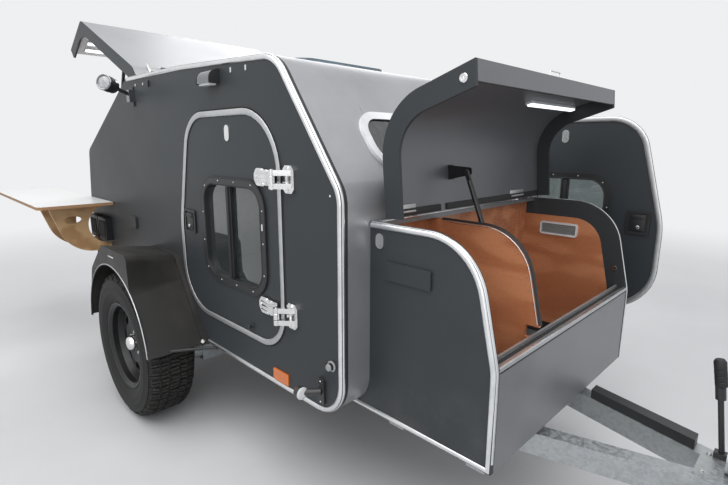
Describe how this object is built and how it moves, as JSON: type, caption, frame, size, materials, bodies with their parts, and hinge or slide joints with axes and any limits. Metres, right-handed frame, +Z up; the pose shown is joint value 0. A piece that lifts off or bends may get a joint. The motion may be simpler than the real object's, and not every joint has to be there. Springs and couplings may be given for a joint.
{
  "type": "teardrop trailer",
  "caption": "Teardrop sleeping trailer with side doors, rear galley under a lifting tailgate, nose box with hinged lid, fenders and a drawbar with jockey wheel.",
  "frame": {"origin": "centre of the coupling's ball socket", "axes": "+X forward along the trailer, +Y to its left, +Z up"},
  "size_m": [4.834, 2.016, 2.0989],
  "materials": {
    "anthracite_panel": "satin",
    "silver_skin": "satin",
    "floor_ply": "satin",
    "bright_trim": "satin",
    "black_plastic": "matte",
    "tinted_acrylic": "gloss",
    "birch_ply": "satin",
    "liner_ply": "satin",
    "mattress_fabric": "matte",
    "hinge_chrome": "polished",
    "zinc_steel": "satin",
    "galvanised_steel": "spangled",
    "fender_plastic": "grained",
    "coupling_black": "satin",
    "table_white": "gloss",
    "lamp_chrome": "polished",
    "amber_lens": "gloss",
    "white_liner": "satin",
    "strut_black": "gloss",
    "tyre": "matte",
    "rim_black": "satin",
    "hub_iron": "matte",
    "wheel_rubber": "matte"
  },
  "bodies": {
    "trailer": {"side_walls": "anthracite_panel", "front_panel": "silver_skin", "roof_panel": "silver_skin", "rear_panel": "silver_skin", "floor_panel": "floor_ply", "edge_trims": "bright_trim", "window_frames": "black_plastic", "window_panes": "tinted_acrylic", "galley_boards": "birch_ply", "mattress": "mattress_fabric", "hinge_brackets": "hinge_chrome", "nose_box_sides": "anthracite_panel", "nose_box_boards": "silver_skin", "nose_box_sill": "bright_trim", "nose_box_linings": "liner_ply", "strut_seats": "zinc_steel", "axle_beam": "galvanised_steel", "fenders": "fender_plastic", "chassis_rails": "galvanised_steel", "crossbars": "galvanised_steel", "drawbar_duct": "black_plastic", "drawbar_clamps": "zinc_steel", "coupling_head": "coupling_black", "handbrake_lever": "coupling_black", "jockey_tube": "zinc_steel", "side_table": "table_white", "table_brackets": "birch_ply", "lamps": "lamp_chrome", "marker_lamps": "amber_lens", "wall_fittings": "black_plastic"},
    "door_right": {"door_right_panel": "anthracite_panel", "door_right_window": "black_plastic", "door_right_glass": "tinted_acrylic", "door_right_hardware": "hinge_chrome"},
    "door_left": {"door_left_panel": "anthracite_panel", "door_left_window": "black_plastic", "door_left_glass": "tinted_acrylic", "door_left_hardware": "hinge_chrome"},
    "nose_lid": {"nose_lid_shell": "silver_skin", "nose_lid_hinges": "hinge_chrome"},
    "tailgate": {"tailgate_skin": "silver_skin", "tailgate_flanges": "anthracite_panel", "tailgate_liner": "white_liner", "tailgate_hinges": "hinge_chrome"},
    "nose_strut_tube": {"nose_strut_tube": "strut_black"},
    "nose_strut_rod": {"nose_strut_rod": "zinc_steel"},
    "tailgate_strut_tube_right": {"tailgate_strut_tube_right": "strut_black"},
    "tailgate_strut_rod_right": {"tailgate_strut_rod_right": "zinc_steel"},
    "tailgate_strut_tube_left": {"tailgate_strut_tube_left": "strut_black"},
    "tailgate_strut_rod_left": {"tailgate_strut_rod_left": "zinc_steel"},
    "wheel_right": {"tyre_right": "tyre", "wheel_rim_right": "rim_black", "wheel_hub_right": "hub_iron"},
    "wheel_left": {"tyre_left": "tyre", "wheel_rim_left": "rim_black", "wheel_hub_left": "hub_iron"},
    "jockey_stem": {"jockey_stem": "zinc_steel"},
    "jockey_fork": {"jockey_fork": "zinc_steel"},
    "jockey_wheel": {"jockey_wheel": "wheel_rubber"}
  },
  "joints": [
    {"name": "wheel_right_spin", "type": "hinge", "parent": "trailer", "child": "wheel_right", "pos_m": [-2.7, -0.8205, -0.0625], "axis": [0, 1, 0], "continuous": true},
    {"name": "wheel_left_spin", "type": "hinge", "parent": "trailer", "child": "wheel_left", "pos_m": [-2.7, 0.8205, -0.0625], "axis": [0, 1, 0], "continuous": true},
    {"name": "door_right_hinge", "type": "hinge", "parent": "trailer", "child": "door_right", "pos_m": [-1.65, -0.72, 0.57], "axis": [0, 0, 1], "range_deg": [0, 180]},
    {"name": "door_left_hinge", "type": "hinge", "parent": "trailer", "child": "door_left", "pos_m": [-1.65, 0.72, 0.57], "axis": [0, 0, 1], "range_deg": [0, 180]},
    {"name": "nose_lid_hinge", "type": "hinge", "parent": "trailer", "child": "nose_lid", "pos_m": [-1.31, 0, 0.683], "axis": [0, 1, 0], "range_deg": [0, 95]},
    {"name": "tailgate_hinge", "type": "hinge", "parent": "trailer", "child": "tailgate", "pos_m": [-2.962, 0, 1.276], "axis": [0, 1, 0], "range_deg": [-50.5, 0]},
    {"name": "nose_strut_tilt", "type": "hinge", "parent": "nose_lid", "child": "nose_strut_tube", "pos_m": [-1.22, -0.205, 0.832], "axis": [0, 1, 0], "range_deg": [-103.64, 0]},
    {"name": "nose_strut_slide", "type": "slide", "parent": "nose_strut_tube", "child": "nose_strut_rod", "axis": [0.3834, 0, -0.9236], "range_m": [-0.24927, 0]},
    {"name": "tailgate_strut_tilt_right", "type": "hinge", "parent": "tailgate", "child": "tailgate_strut_tube_right", "pos_m": [-3.221, -0.606, 1.36], "axis": [0, 1, 0], "range_deg": [0, 79.43]},
    {"name": "tailgate_strut_slide_right", "type": "slide", "parent": "tailgate_strut_tube_right", "child": "tailgate_strut_rod_right", "axis": [-0.4322, 0, -0.9018], "range_m": [-0.16411, 0]},
    {"name": "tailgate_strut_tilt_left", "type": "hinge", "parent": "tailgate", "child": "tailgate_strut_tube_left", "pos_m": [-3.221, 0.606, 1.36], "axis": [0, 1, 0], "range_deg": [0, 79.43]},
    {"name": "tailgate_strut_slide_left", "type": "slide", "parent": "tailgate_strut_tube_left", "child": "tailgate_strut_rod_left", "axis": [-0.4322, 0, -0.9018], "range_m": [-0.16411, 0]},
    {"name": "jockey_lift", "type": "slide", "parent": "trailer", "child": "jockey_stem", "axis": [0, 0, 1], "range_m": [0, 0.15]},
    {"name": "jockey_swivel", "type": "hinge", "parent": "jockey_stem", "child": "jockey_fork", "pos_m": [-0.31, -0.12, -0.19], "axis": [0, 0, 1], "continuous": true},
    {"name": "jockey_spin", "type": "hinge", "parent": "jockey_fork", "child": "jockey_wheel", "pos_m": [-0.35, -0.12, -0.33], "axis": [0, 1, 0], "continuous": true}
  ],
  "couplings": [
    {"joint": "nose_strut_tilt", "follows": "nose_lid_hinge", "ratio": -1.0857},
    {"joint": "nose_strut_slide", "follows": "nose_lid_hinge", "m_per_rad": -0.14973},
    {"joint": "tailgate_strut_tilt_right", "follows": "tailgate_hinge", "ratio": -1.563},
    {"joint": "tailgate_strut_slide_right", "follows": "tailgate_hinge", "m_per_rad": 0.18506},
    {"joint": "tailgate_strut_tilt_left", "follows": "tailgate_hinge", "ratio": -1.563},
    {"joint": "tailgate_strut_slide_left", "follows": "tailgate_hinge", "m_per_rad": 0.18506}
  ]
}
